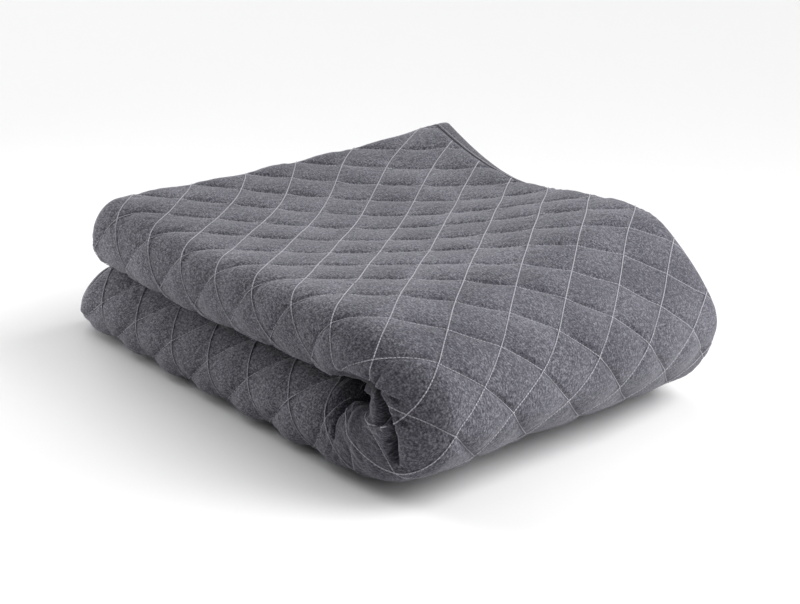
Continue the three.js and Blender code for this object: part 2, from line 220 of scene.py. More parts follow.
def settle(x, y, z):   # how the soft stack leans, spreads and sags on the surface
    size = settleSizes
    rows = [smoothThrough(size["heightX"], row, x) for row in size["heights"]]
    hemDrop = size["hemDrop"] * rampUp(*size["hemDropY"], y) * smoothStep(*size["hemDropX"], x)
    height = smoothThrough(size["heightY"], rows, y) * (1 - hemDrop)
    level = z / nominalHeight
    rollNear = np.exp(-np.maximum(y - size["heightY"][0], 0) / size["rollSplayReach"])
    splay = smoothThrough(size["heightX"], size["rollSplay"], x) * (2 * level - 1) ** 2 * rollNear
    hemwards = rampUp(*size["noseTaperY"], y)
    taperLow, taperHigh = size["noseTaper"]
    taper = np.where(x > 0, 1 - (taperLow + (taperHigh - taperLow) * level) * hemwards, 1)
    bulgeY, bulgeHalf = size["noseBulgeY"]
    bulge = size["noseBulge"] * smoothStep(*size["noseBulgeX"], x) * np.exp(-((y - bulgeY) / bulgeHalf) ** 2)
    bulge = bulge * np.clip(1 - level, 0, 1) ** size["noseBulgeFall"]
    endwards = np.clip(-x / size["lowerEndFrom"], 0, 1)
    cornerwards = rampUp(*size["cornerY"], y) * rampUp(*size["cornerX"], x) * level
    droop = smoothThrough(size["heightX"], size["rollDroop"], x) * smoothStep(*size["droopY"], y)
    stretch = size["endStretch"] * rampUp(*size["endStretchX"], x)
    lowerReach = size["lowerEndReach"] * (1 - level) * endwards
    return np.stack([
        x * taper + bulge - lowerReach - stretch + size["cornerDraw"] * cornerwards - size["middle"][0],
        y - splay + size["cornerPull"] * cornerwards - size["middle"][1],
        level * height - droop * 4 * level * (1 - level),
    ], -1)


# creases laid on the flat cloth: rows of u, v, depth and half width on the two sides, larger v first;
# a ridge has a negative depth
creases = {
    "throat": [
        (490, 474, 0, 40, 8), (530, 462, 10, 40, 5), (550, 456, 16, 36, 3.5), (566, 448, 24, 28, 2.5),
        (577, 444.5, 30, 16, 2), (588, 443.5, 33, 7, 2), (600, 443.5, 34, 6, 2),
        (614, 442.5, 33, 5.5, 2), (624, 442.5, 28, 5, 2), (634, 442, 14, 4, 2),
    ],
    "core": [
        (556, 486, 2, 12, 12), (590, 470, 8, 10, 10), (630, 476, 12, 12, 10), (680, 486, 12, 12, 10),
        (730, 492, 6, 12, 8),
    ],
    "wedge": [
        (616, 445, 16, 6, 1.8), (626, 447.5, 22, 6, 1.8), (638, 451, 18, 6, 1.8), (650, 455.5, 9, 5, 1.8),
        (660, 460, 0, 4, 1.8),
    ],
    "lipSlit": [
        (636, 441.5, 8, 3, 1.8), (646, 441.5, 22, 3.5, 1.8), (660, 441, 28, 3.5, 1.8),
        (672, 439, 24, 3, 1.8), (682, 436, 12, 2.5, 1.8), (690, 432, 0, 2.5, 1.8),
    ],
    "petalSlit": [
        (690, 500, 14, 24, 4), (722, 496, 28, 24, 3), (744, 488, 36, 20, 2.5), (764, 478, 34, 15, 2.5),
        (775, 472, 26, 10, 2.5), (782, 465, 20, 8, 2.5), (785, 457, 12, 6, 2.5), (792, 447, 0, 6, 3),
    ],
    "petalRise": [
        (700, 470, -3, 10, 10), (720, 462, -5, 12, 12), (740, 455, -4, 12, 12), (756, 446, -1, 10, 10),
    ],
    "lipPinchA": [
        (563, 434, 0, 2.5, 2.5), (569, 436, 4.5, 2.5, 2.5), (576, 439, 5, 2.5, 2.5), (582, 441, 5, 2.5, 2.5),
    ],
    "lipPinchB": [
        (574, 424, 0, 2.5, 2.5), (577, 429, 4, 2.5, 2.5), (581, 435, 5, 2.5, 2.5), (585, 440, 5, 2.5, 2.5),
    ],
    "sidePinch": [(624, 434, 3, 2.5, 2.5), (632, 430, 4, 2.5, 2.5), (637, 427, 0, 2.5, 2.5)],
    "lipDent": [(603, 432, 2, 2.5, 2.5), (609, 428, 3, 2.5, 2.5), (612, 423, 0, 2.5, 2.5)],
    "hemNotch": [(652, 18, 2, 8, 8), (664, 34, 4, 9, 9), (672, 52, 1, 9, 9)],
}
creaseReach = 60.0               # further off than this a crease isn't felt
creaseFall = 1.4                 # how sharply its sides fall away


def creaseDepth(u, v):   # how far the sheet is pressed in by the listed creases
    deep = np.zeros(u.shape)
    for rows in creases.values():
        path = np.array(rows, float)
        low, high = path[:, :2].min(0) - creaseReach, path[:, :2].max(0) + creaseReach
        near = (u > low[0]) & (u < high[0]) & (v > low[1]) & (v < high[1])
        place = np.stack([u[near], v[near]], -1)
        pressed = np.zeros(len(place))
        for start, end in zip(path[:-1], path[1:]):
            run = end[:2] - start[:2]
            reach = place - start[:2]
            t = np.clip(reach @ run / (run @ run), 0, 1)
            depth, wideAbove, wideBelow = (start[2:] + t[:, None] * (end[2:] - start[2:])).T
            off = reach - t[:, None] * run
            wide = np.where(off[:, 1] * run[0] > off[:, 0] * run[1], wideAbove, wideBelow)
            here = depth * np.exp(-(np.linalg.norm(off, axis=1) / wide) ** creaseFall)
            pressed = np.where(np.abs(here) > np.abs(pressed), here, pressed)
        deep[near] += pressed
    return deep


def foldPoints(u, v, w):   # flat place and height off the middle of the sheet, to metres
    u, v, w = (np.asarray(a, float) for a in np.broadcast_arrays(u, v, w))
    nearFall, nearDraw = curl(u, foldSizes["endCurl"])
    farFall, farDraw = curl(length - u, foldSizes["endCurl"])
    squeeze = 1 - (nearFall + farFall) / rollHalfHeight
    y, depth = stripPath(u, v, w - creaseDepth(u, v), squeeze)
    x, z = halfTurn(u + nearDraw - farDraw, depth)
    return settle(x, y, z) * mm


quilting = {
    "puffHalf": 6.9,             # half thickness mid diamond
    "stitchHalf": 2.1,           # half thickness along a row of stitches
    "sharpness": 0.4,            # lower stands the puffs up more steeply beside the stitches
    "uneven": 0.18,              # how much one diamond's puff differs from the next
    "tilt": 0.35,                # how much higher a puff stands on one side than on the other
    "level": 0.6,                # share of the puff that calmer cloth evens out to
    "seamRise": 2.2,             # rows that run up the stack stand this much higher than those crossing them
    "rollSeamRise": 1.2,         # and this much more where the rolls draw the cloth outwards
    "rollCrossRise": 0.9,        # the crossing rows stand this much higher there too
    "rollBlend": 30.0,           # length over which both come and go
    "seamDip": 0.7,              # how sharply the crossing rows dip beside them
    "sewnReach": 7.0,            # width beside the binding where the puffs begin
    "floorGroove": 1.4,          # depth of the stitch rows pressed on the surface
    "floorFlat": 1.6,            # higher presses more of each diamond flat
    "floorFade": (-6.0, 16.0),   # where the pressed part ends, from the start of the roll
    "footBulge": 3.6,            # the diamonds bulge this much where the lower roll meets the surface
    "footRise": (4.0, 14.0),     # where the bulge comes and goes, from the start of the roll
    "footFall": (26.0, 52.0),
    "seed": 7,
}
diamondRange = 64                # more diamonds than the throw has either way
puffLots = np.random.default_rng(quilting["seed"]).uniform(-1, 1, (3, diamondRange, diamondRange))


# how the rows waver: for each direction a wave's millimetres to a radian, how far a second wave bends it
# and that wave's millimetres, its start, and the millimetres and start of a wave across it
waver = {
    "size": 0.8,                 # how far to either side
    "clear": 40.0,               # dies away this near the edges
    "u": (23.0, 1.7, 61.0, 0.0, 29.0, 0.7),
    "v": (21.0, 1.3, 57.0, 2.0, 31.0, 0.4),
}
# places where the quilted rows lie off their even lattice: u, v, shift in u and v, reach in u and v
slack = {
    "underTurn": (668, 345, 16, -16, 42, 105),
    "byRoll": (625, 432, 9, 0, 35, 30),
    "looseEnd": (110, 270, -7, 7, 90, 110),
}


def edgeDistance(u, v):
    return np.minimum(np.minimum(u, length - u), np.minimum(v, width - v))


def wave(along, across, shape):
    reach, bend, bendReach, start, crossReach, crossStart = shape
    bent = along / reach + bend * np.sin(across / bendReach) + start
    return np.sin(bent) * np.cos(across / crossReach + crossStart)


def drift(u, v):   # how far the rows lie off their even lattice
    inside = smoothStep(0, waver["clear"], edgeDistance(u, v))
    shift = waver["size"] * inside * np.stack([wave(u, v, waver["u"]), wave(v, u, waver["v"])])
    for midU, midV, shiftU, shiftV, reachU, reachV in slack.values():
        near = inside * np.exp(-((u - midU) / reachU) ** 2 - ((v - midV) / reachV) ** 2)
        shift += np.multiply.outer((shiftU, shiftV), near)
    return shift


def evenToCloth(u, v):   # from a place on the even lattice to where it lies on the cloth
    place = np.stack([u, v])
    for _ in range(8):   # enough rounds to settle
        place = np.stack([u, v]) - drift(*place)
    return place


def evenLattice(u, v):   # rows of stitches run where either number is whole
    along = u / diamond + throwSizes["firstCrossingU"]
    across = v / diamond - throwSizes["firstCrossingV"]
    return along - across, along + across


def latticePlace(u, v):   # the same for a place on the cloth
    shiftU, shiftV = drift(u, v)
    return evenLattice(u + shiftU, v + shiftV)


def puff(u, v):   # no two diamonds stand quite alike
    a, b = latticePlace(u, v)
    lift = np.abs(np.sin(np.pi * a) * np.sin(np.pi * b)) ** quilting["sharpness"]
    rowA, rowB = np.floor(a).astype(int), np.floor(b).astype(int)
    height, leanA, leanB = puffLots[:, rowA % diamondRange, rowB % diamondRange]
    lean = leanA * (a - rowA - 0.5) + leanB * (b - rowB - 0.5)
    return lift * (1 + quilting["uneven"] * height + quilting["tilt"] * lean)


gathers = {
    "height": 0.6,               # of the small gathers beside the stitches
    "spacing": 12.0,             # from one gather to the next
    "reach": 5.0,                # distance from the stitches where they stand highest
    "startA": 0.4,
    "startB": 2.1,
    "slowShift": (2.4, 1.9, 1.3),    # how far their places shift, and how fast along and across the row
    "quickShift": (1.7, 4.3, -0.7),
    "swell": (0.4, 2.7, 3.1),        # how much their height comes and goes, and how fast
}


def pucker(u, v):   # small gathers that run away from each row of stitches
    a, b = latticePlace(u, v)
    side = diamond / math.sqrt(2)
    slow, slowAlong, slowAcross = gathers["slowShift"]
    quick, quickAlong, quickAcross = gathers["quickShift"]
    swell, swellAlong, swellAcross = gathers["swell"]
    total = np.zeros(u.shape)
    for across, along, start in ((a, b, gathers["startA"]), (b, a, gathers["startB"])):
        away = np.abs(across - np.round(across)) * side / gathers["reach"]
        shift = slow * np.sin(slowAlong * along + slowAcross * across + start)
        shift = shift + quick * np.sin(quickAlong * along + quickAcross * across)
        gather = np.sin(2 * np.pi * along * side / gathers["spacing"] + shift)
        size = 1 - swell + swell * np.sin(swellAlong * along + swellAcross * across + start)
        total += gather * away * np.exp(1 - away) * size
    return gathers["height"] * total


# where the cloth is drawn tight: over the turn, along the hem by it and over the crest of the upper roll
tightCloth = {
    "noseShare": 0.12,           # share of the relief lost over the turn
    "noseFade": (30.0, 110.0),   # comes in this far inside the turn
    "hemShare": 0.45,
    "hemV": (20.0, 75.0),
    "hemU": (250.0, 330.0),
    "hemEnd": 40.0,              # goes out over this length before the turn's end
    "crestShare": 0.3,
    "crestRise": (-20.0, 20.0),  # from the start of the roll
    "crestFall": (25.0, 50.0),
    "crestEnd": 60.0,            # goes out likewise
}


def calm(u, v):   # share of the puff that is left where the cloth is drawn tight
    size = tightCloth
    fadeStart, fadeEnd = size["noseFade"]
    overTurn = smoothStep(fadeStart, fadeEnd, u - turnStart) * smoothStep(fadeStart, fadeEnd, turnEnd - u)
    byHem = (1 - smoothStep(*size["hemV"], v)) * smoothStep(*size["hemU"], u)
    byHem = byHem * smoothStep(0, size["hemEnd"], turnEnd - u)
    intoRoll = v - rollStart
    onCrest = smoothStep(*size["crestRise"], intoRoll) * (1 - smoothStep(*size["crestFall"], intoRoll))
    onCrest = onCrest * smoothStep(0, size["crestEnd"], turnEnd - u)
    tight = np.maximum(size["noseShare"] * overTurn, size["crestShare"] * onCrest)
    return (1 - tight) * (1 - size["hemShare"] * byHem)


def rollShare(v):   # 1 on the rolled folds, 0 on the flat layers
    blend = quilting["rollBlend"]
    return smoothStep(rollStart, rollStart + blend, v) * (1 - smoothStep(rollEnd, rollEnd + blend, v))


def halfThickness(u, v, side):   # from the middle of the sheet to its outer face, or its inner one
    toEdge = edgeDistance(u, v)
    lift = puff(u, v)
    a, b = latticePlace(u, v)
    onRoll = rollShare(v)
    rise = quilting["seamRise"] + quilting["rollSeamRise"] * onRoll
    dip = rise - quilting["rollCrossRise"] * onRoll
    seam = quilting["stitchHalf"] + rise - dip * np.abs(np.sin(np.pi * a)) ** quilting["seamDip"]
    level = quilting["level"]
    quilted = seam + (quilting["puffHalf"] - seam) * (level + (lift - level) * calm(u, v)) + pucker(u, v)
    if side > 0:
        intoRoll = v - rollStart
        atFoot = smoothStep(*quilting["footRise"], intoRoll) * smoothStep(turnEnd - diamond, turnEnd, u)
        atFoot = atFoot * (1 - smoothStep(*quilting["footFall"], intoRoll))
        pillow = np.abs(np.sin(np.pi * a) * np.sin(np.pi * b)) - 0.5
        quilted = quilted + quilting["footBulge"] * pillow * atFoot
        pressed = puffHalf - quilting["floorGroove"] * (1 - np.minimum(lift * quilting["floorFlat"], 1))
        onFloor = 1 - smoothStep(*quilting["floorFade"], intoRoll)
        onFloor = onFloor * smoothStep(turnEnd - diamond / 2, turnEnd, u)
        quilted = quilted + (pressed - quilted) * onFloor
    margin = throwSizes["edgeHalf"] + smoothStep(panelEdge / 2, panelEdge, toEdge)
    sewn = smoothStep(panelEdge, panelEdge + quilting["sewnReach"], toEdge)
    return margin + (quilted - margin) * sewn


panelGrid = {
    "shown": 20,                 # steps to a diamond on the outer face
    "hidden": 6,                 # steps to a diamond on faces between the layers and on the floor
    "cornerParts": 3,            # finer again where the roll gathers at the turn
    "cornerU": (560.0, 810.0),
    "cornerV": (426.0, 492.0),
    "back": 12,                  # steps to a diamond where the inner layers turn on the hem side
    "backReach": 48.0,           # how far that turn shows to either side
    "tightSteps": 9,             # rows round a tight fold
    "edgeClear": 2.0,            # least step beside the binding
    "rowClear": 3.0,             # and beside a change of spacing
}


def latticeStations(extent, phase, step):   # places that fall on whole parts of a diamond
    clear = panelEdge + panelGrid["edgeClear"]
    first = math.ceil((clear + phase * diamond) / step)
    last = math.floor((extent - clear + phase * diamond) / step)
    inner = np.arange(first, last + 1) * step - phase * diamond
    margin = np.array([0, panelEdge / 2, panelEdge])
    return np.concatenate([margin, inner, extent - margin[::-1]])


def joinLines(a, b, aIds, bIds):   # triangles between two lines of points with different spacing
    faces = []
    i = j = 0
    while i < len(a) - 1 or j < len(b) - 1:
        aDone, bDone = i == len(a) - 1, j == len(b) - 1
        if bDone or (not aDone and a[i + 1] + a[i] <= b[j + 1] + b[j]):
            faces.append((aIds[i], aIds[i + 1], bIds[j]))
            i += 1
        else:
            faces.append((aIds[i], bIds[j + 1], bIds[j]))
            j += 1
    return faces


def joinGrid(u, v0, v1, ids0, ids1):   # triangles between two like rows, cut along the stitches
    uMid = (u[1:] + u[:-1]) / 2
    vMid = (v0 + v1) / 2
    a, b = evenLattice(uMid, vMid)
    risingCut = np.abs(a - np.round(a)) < np.abs(b - np.round(b))
    low0, high0, low1, high1 = ids0[:-1], ids0[1:], ids1[:-1], ids1[1:]
    rising = np.concatenate([np.stack([low0, high0, high1], 1), np.stack([low0, high1, low1], 1)])
    falling = np.concatenate([np.stack([low0, high0, low1], 1), np.stack([high0, high1, low1], 1)])
    both = np.concatenate([risingCut, risingCut])
    return np.where(both[:, None], rising, falling)


def addMesh(name, points, faces, flatPlaces):
    mesh = bpy.data.meshes.new(name)
    faces = np.asarray(faces, np.int32)
    sides = faces.shape[1]
    mesh.vertices.add(len(points))
    mesh.vertices.foreach_set("co", np.asarray(points, np.float32).ravel())
    mesh.loops.add(faces.size)
    mesh.loops.foreach_set("vertex_index", faces.ravel())
    mesh.polygons.add(len(faces))
    mesh.polygons.foreach_set("loop_start", np.arange(0, faces.size, sides, dtype=np.int32))
    mesh.update(calc_edges=True)
    mesh.validate()
    flat = mesh.uv_layers.new(name="flatCloth")   # the cloth laid flat, in metres
    flat.data.foreach_set("uv", (np.asarray(flatPlaces)[faces.ravel()] * mm).astype(np.float32).ravel())
    mesh.shade_smooth()
    piece = bpy.data.objects.new(name, mesh)
    bpy.context.scene.collection.objects.link(piece)
    return piece


def splitStations(stations, low, high):   # the stations from low to high, each step cut in parts
    parts = panelGrid["cornerParts"]
    finer = [stations[:1]]
    for start, end in zip(stations[:-1], stations[1:]):
        count = parts if start >= low and end <= high else 1
        finer.append(start + (end - start) * np.arange(1, count + 1) / count)
    return np.concatenate(finer)


def shownRows(wideU, phaseU, phaseV, lastShown):   # fine rows on the top, the turn and the rolls
    fineStep = diamond / panelGrid["shown"]
    fineU = latticeStations(length, phaseU, fineStep)
    cornerU = splitStations(fineU, *panelGrid["cornerU"])
    overTopU = np.concatenate([fineU[fineU < turnEnd], wideU[wideU > turnEnd + panelGrid["rowClear"]]])
    low, high = panelGrid["cornerV"]
    rows = []
    for v in splitStations(latticeStations(width, phaseV, fineStep), low, high):
        if v > lastShown:
            break
        if v < rollStart - diamond / 2:
            rows.append((v, overTopU))
        else:
            rows.append((v, cornerU if low < v < high else fineU))
    return rows


def quiltRows(shown):   # rows of the sheet, each with its own spacing along the throw
    phaseU, phaseV = throwSizes["firstCrossingU"], -throwSizes["firstCrossingV"]
    wideStep = diamond / panelGrid["hidden"]
    wideU = latticeStations(length, phaseU, wideStep)
    lastShown = rollEnd + diamond / 2 if shown else -1
    rows = shownRows(wideU, phaseU, phaseV, lastShown) if shown else []
    backLow, backHigh = backStart - panelGrid["backReach"], backEnd + panelGrid["backReach"]
    backStep = diamond / panelGrid["back"] if shown else wideStep
    backU = latticeStations(length, phaseU, backStep)
    roundFold = tightArc * np.linspace(0, 1, panelGrid["tightSteps"] + 1)
    tight = [start + roundFold for start in (backStart, innerStart)]
    inner = [v for v in latticeStations(width, phaseV, wideStep) if v > lastShown]
    inner = [v for v in inner if not backLow < v < backHigh]
    inner += [v for v in latticeStations(width, phaseV, backStep) if backLow < v < backHigh]
    space = panelGrid["rowClear"]
    clear = [v for v in inner if all(v < fold[0] - space or v > fold[-1] + space for fold in tight)]
    for v in sorted(clear + list(np.concatenate(tight))):
        rows.append((v, backU if backLow < v < backHigh else wideU))
    return rows


creaseShadeDepth = (2.8, 16.8)        # painted shade darkens the cloth's colour in a crease between these depths
marlPlaces = {                   # where the marl shows more than over the turn
    "turnBlend": 110.0,          # length over which it changes at either end of the turn
    "rollBlend": (-10.0, 30.0),  # and across the throw, from the start of the roll
    "topShare": 0.5,
}


def marlShown(u, v):   # the marl shows most where the nap lies flat: on the rolls, and less on the top
    blend = marlPlaces["turnBlend"]
    onTop = 1 - smoothStep(turnStart, turnStart + blend, u)
    underneath = smoothStep(turnEnd - blend, turnEnd, u)
    onRoll = smoothStep(*marlPlaces["rollBlend"], v - rollStart) * (onTop + underneath)
    return np.maximum(onRoll, marlPlaces["topShare"] * onTop)


def quiltedPanel():
    sides = {1: quiltRows(True), -1: quiltRows(False)}
    points, flat, faces, edges = [], [], [], {}
    count = 0
    for side, rows in sides.items():
        ids = []
        for v, us in rows:
            us, vs = evenToCloth(us, np.full(len(us), v))
            points.append(foldPoints(us, vs, side * halfThickness(us, vs, side)))
            flat.append(np.stack([us, vs], 1))
            ids.append(np.arange(count, count + len(us)))
            count += len(us)
        for k in range(len(rows) - 1):
            (v0, u0), (v1, u1) = rows[k], rows[k + 1]
            if u0 is u1:
                strip = joinGrid(u0, v0, v1, ids[k], ids[k + 1])
            else:
                strip = np.array(joinLines(u0, u1, ids[k], ids[k + 1]))
            faces.append(strip[:, ::-1] if side > 0 else strip)
        rowV = np.array([v for v, _ in rows])
        edges[side] = [
            (rows[0][1], ids[0]),
            (rowV, np.array([row[-1] for row in ids])),
            (-rows[-1][1][::-1], ids[-1][::-1]),
            (-rowV[::-1], np.array([row[0] for row in ids])[::-1]),
        ]
    for (frontPlaces, frontIds), (backPlaces, backIds) in zip(edges[1], edges[-1]):
        faces.append(np.array(joinLines(frontPlaces, backPlaces, frontIds, backIds)))
    flat = np.concatenate(flat)
    piece = addMesh("quiltedPanel", np.concatenate(points), np.concatenate(faces), flat)
    paintedCreaseShade = piece.data.attributes.new("paintedCreaseShade", "FLOAT", "POINT")   # painted crease shade: 1 at the bottom of a deep crease
    shade = np.interp(creaseDepth(*flat.T), creaseShadeDepth, (0, 1))
    paintedCreaseShade.data.foreach_set("value", shade.astype(np.float32))
    marled = piece.data.attributes.new("marled", "FLOAT", "POINT")   # 1 where the marl shows most
    marled.data.foreach_set("value", marlShown(*flat.T).astype(np.float32))
    return piece


bindingShape = {
    "gap": 0.7,                  # between the sheet's edge and the strip
    "thick": 1.2,
    "sewnSide": [(0, -0.5), (0.8, 0), (2.6, -0.35), (5, 0.25)],  # in from its sewn end, rise of its face
    "edgeSide": [(3, 0.2), (0, -0.1)],       # the same, in from the throw's edge
    "edgeRound": [(0.75, 0.66), (1, 0.25)],  # round that edge: shares of its reach and of its height
    "lip": 0.5,                  # its inside rises this much to the sewn end
    "spacing": 7.0,              # stations along the straight edges
    "tightSpacing": 3.5,         # stations round the folds
    "cornerClear": 6.0,          # none nearer a mitre than this
    "foldReach": (8.0, 12.0),    # close stations reach this far past a fold, and wide ones stop here
}


def edgeStations(extent, crossesFolds):
    first = panelEdge + bindingShape["cornerClear"]
    places = np.arange(first, extent - first, bindingShape["spacing"])
    if crossesFolds:
        fine = np.arange(first, extent - first, bindingShape["tightSpacing"])
        closeReach, wideReach = bindingShape["foldReach"]
        inFold = np.zeros(len(fine), bool)
        inFoldWide = np.zeros(len(places), bool)
        for low, high in ((rollStart, rollEnd), (backStart, backEnd), (innerStart, innerEnd)):
            inFold |= (fine > low - closeReach) & (fine < high + closeReach)
            inFoldWide |= (places > low - wideReach) & (places < high + wideReach)
        places = np.sort(np.concatenate([places[~inFoldWide], fine[inFold]]))
    return places


def bindingLoop():   # stations round the whole edge: a place on it, and the way in from there
    alongU = edgeStations(length, False)
    alongV = edgeStations(width, True)
    loop = [((0, 0), (1, 1))] + [((u, 0), (0, 1)) for u in alongU]
    loop += [((length, 0), (-1, 1))] + [((length, v), (-1, 0)) for v in alongV]
    loop += [((length, width), (-1, -1))] + [((u, width), (0, -1)) for u in alongU[::-1]]
    loop += [((0, width), (1, -1))] + [((0, v), (1, 0)) for v in alongV[::-1]]
    return np.array(loop, float)


def bindingSection():   # inset from the edge and height off the sheet's middle, all the way round the strip
    gap = bindingShape["gap"]
    inside = throwSizes["edgeHalf"] + gap
    outside = inside + bindingShape["thick"]
    reach = gap + bindingShape["thick"]
    wide = throwSizes["bindingWidth"]
    outer = [(wide - off, outside + rise) for off, rise in bindingShape["sewnSide"]]
    outer += [(inset, outside + rise) for inset, rise in bindingShape["edgeSide"]]
    outer += [(-reach * out, outside * up) for out, up in bindingShape["edgeRound"]]
    inner = [(-gap, inside), (wide / 2, inside), (wide, inside + bindingShape["lip"])]
    outer += [(inset, -w) for inset, w in outer[::-1]]
    return outer + [(inset, -w) for inset, w in inner[::-1]] + inner


def edgeBinding():
    section = np.array(bindingSection())
    loop = bindingLoop()
    places = loop[:, None, 0] + section[None, :, :1] * loop[:, None, 1]
    points = foldPoints(places[..., 0].ravel(), places[..., 1].ravel(), np.tile(section[:, 1], len(loop)))
    sides = len(section)
    here = np.arange(len(loop))[:, None] * sides + np.arange(sides)[None]
    nextStation = np.roll(here, -1, axis=0)
    after = np.roll(here, -1, axis=1)
    nextAfter = np.roll(nextStation, -1, axis=1)
    faces = np.stack([here, nextStation, nextAfter, after], -1).reshape(-1, 4)
    walked = np.concatenate([[0], np.cumsum(np.linalg.norm(np.diff(places[:, 0], axis=0), axis=1))])
    around = np.concatenate([[0], np.cumsum(np.linalg.norm(np.diff(section, axis=0), axis=1))])
    flat = np.stack(np.broadcast_arrays(walked[:, None], around[None]), -1).reshape(-1, 2)
    return addMesh("edgeBinding", points, faces, flat)


threadShape = {
    "stitch": 2.95,              # length of one stitch on the face
    "spacing": 3.2,              # from one stitch to the next
    "thickA": 1.3,               # rows that run up the stack from the fold side lie on the cloth
    "thickB": 1.1,               # and the rows that cross them are drawn into it
    "thickTop": 0.8,             # topstitching
    "flatness": 0.8,             # drawn a little flat on the cloth
    "lie": 0.45,                 # middle of the thread above the cloth
    "lieOnRoll": 0.25,           # and this much more on the rolls
    "sink": 0.35,                # the ends dip into the cloth
    "endThick": 0.6,             # and are drawn in to this share
    "fullLength": 0.64,          # share of a stitch at full thickness
    "swallowed": 5.0,            # a crease deeper than this hides its stitches
    "sides": 5,
}


def stitches(name, paths, rise, thick, size=1.0):   # beads of thread along paths of (u, v), one joined mesh
    shape = threadShape
    ringPlace = np.array([-1, -shape["fullLength"], shape["fullLength"], 1]) * shape["stitch"] / 2 * size
    ringRadius = np.array([shape["endThick"], 1, 1, shape["endThick"]]) * thick / 2
    ringDrop = np.array([shape["sink"], 0, 0, shape["sink"]]) * size
    rings = len(ringPlace)
    centres, directions = [], []
    for start, end in paths:
        run = np.subtract(end, start)
        reach = np.hypot(*run)
        count = int(reach / (shape["spacing"] * size))
        if count < 1:
            continue
        t = (np.arange(count) + 0.5) / count
        centres.append(np.asarray(start) + t[:, None] * run)
        directions.append(np.tile(run / reach, (count, 1)))
    centres, directions = np.concatenate(centres), np.concatenate(directions)
    shown = creaseDepth(*evenToCloth(*centres.T)) < shape["swallowed"]
    centres, directions = centres[shown], directions[shown]
    flat = centres[:, None, :] + ringPlace[None, :, None] * directions[:, None, :]
    u, v = evenToCloth(flat[..., 0].ravel(), flat[..., 1].ravel())
    base = rise(u, v)
    base = base - np.sign(base) * np.tile(ringDrop, len(centres))   # the ends dip on either face
    middle = foldPoints(u, v, base).reshape(len(centres), rings, 3)
    up = foldPoints(u, v, base + 1).reshape(len(centres), rings, 3) - middle
    forward = middle[:, -1] - middle[:, 0]
    forward /= np.linalg.norm(forward, axis=1)[:, None]
    up -= (up * forward[:, None]).sum(-1)[..., None] * forward[:, None]
    up /= np.linalg.norm(up, axis=-1)[..., None]
    across = np.cross(forward[:, None], up)
    sides = shape["sides"]
    angle = 2 * np.pi * np.arange(sides) / sides
    sideways = np.cos(angle)[:, None] * across[:, :, None]
    upwards = shape["flatness"] * np.sin(angle)[:, None] * up[:, :, None]
    points = middle[:, :, None] + (sideways + upwards) * (ringRadius * mm)[None, :, None, None]
    one = []   # faces of one stitch
    for start in range(0, (rings - 1) * sides, sides):
        for k in range(sides):
            here, after = start + k, start + (k + 1) % sides
            one += [(here, after, after + sides), (here, after + sides, here + sides)]
    last = (rings - 1) * sides
    one += [(0, k + 1, k) for k in range(1, sides - 1)]
    one += [(last, last + k, last + k + 1) for k in range(1, sides - 1)]
    firstPoints = np.arange(len(centres)) * rings * sides
    faces = (np.array(one)[None] + firstPoints[:, None, None]).reshape(-1, 3)
    places = np.repeat(flat, sides, axis=1).reshape(-1, 2)
    return addMesh(name, points.reshape(-1, 3), faces, places)


quiltingReach = {
    "edge": panelEdge + 1,       # the rows stop at the binding
    "pastRoll": 10.0,            # and this far in under the upper roll and over the lower one
    "rows": range(-40, 60),      # numbers enough for the whole throw
    "shortest": 0.01,            # least share of a row that is sewn
}


def quiltingPaths(family):   # rows of stitches on the faces that show
    backReach = panelGrid["backReach"]
    bands = [
        (quiltingReach["edge"], rollEnd + quiltingReach["pastRoll"]),
        (backStart - backReach, backEnd + backReach),
    ]
    return [path for low, high in bands for path in bandPaths(family, low, high)]


def bandPaths(family, low, high):   # the rows from one v to another
    paths = []
    for number in quiltingReach["rows"]:
        ends = []
        for v in (low, high):
            across = v / diamond - throwSizes["firstCrossingV"]
            along = number + across if family == "a" else number - across
            ends.append(((along - throwSizes["firstCrossingU"]) * diamond, v))
        start, end = np.array(ends)
        run = end - start
        edges = np.array([quiltingReach["edge"], length - quiltingReach["edge"]])
        first, last = sorted(np.clip((edges - start[0]) / run[0], 0, 1))
        if last - first > quiltingReach["shortest"]:
            paths.append((start + first * run, start + last * run))
    return paths


def faceRise(u, v):   # the thread stands a little prouder where the rolls draw the cloth outwards
    return halfThickness(u, v, 1) + threadShape["lie"] + threadShape["lieOnRoll"] * rollShare(v)


topstitch = {
    "inset": 9.8,                # from the throw's edge
    "size": 0.8,                 # of a stitch, against the quilting's
    "sunk": 0.15,                # middle of the thread below the binding's face
}


def topstitchPaths():   # one row round the throw near the inner edge of the binding
    near, farU, farV = topstitch["inset"], length - topstitch["inset"], width - topstitch["inset"]
    corners = [(near, near), (farU, near), (farU, farV), (near, farV)]
    return list(zip(corners, corners[1:] + corners[:1]))


def bindingRise(u, v):
    face = throwSizes["edgeHalf"] + bindingShape["gap"] + bindingShape["thick"]
    return np.full(u.shape, face - topstitch["sunk"])


def bindingRiseInside(u, v):
    return -bindingRise(u, v)


def toLinear(hexColor):   # sRGB hex to linear colour
    parts = [int(hexColor[k:k + 2], 16) / 255 for k in (1, 3, 5)]
    return tuple(c / 12.92 if c <= 0.04045 else ((c + 0.055) / 1.055) ** 2.4 for c in parts) + (1.0,)


def addNode(tree, kind, links=None, values=None, **settings):   # one node with its links and settings
    node = tree.nodes.new(kind)
    for name, value in settings.items():
        setattr(node, name, value)
    for socket, value in (values or {}).items():
        node.inputs[socket].default_value = value
    for socket, source in (links or {}).items():
        tree.links.new(source, node.inputs[socket])
    return node


def startMaterial(name, finish):   # finish holds what is the same all over the surface
    material = bpy.data.materials.new(name)
    material.use_nodes = True
    tree = material.node_tree
    shader = tree.nodes["Principled BSDF"]
    for socket, value in finish.items():
        shader.inputs[socket].default_value = value
    return material, tree, shader


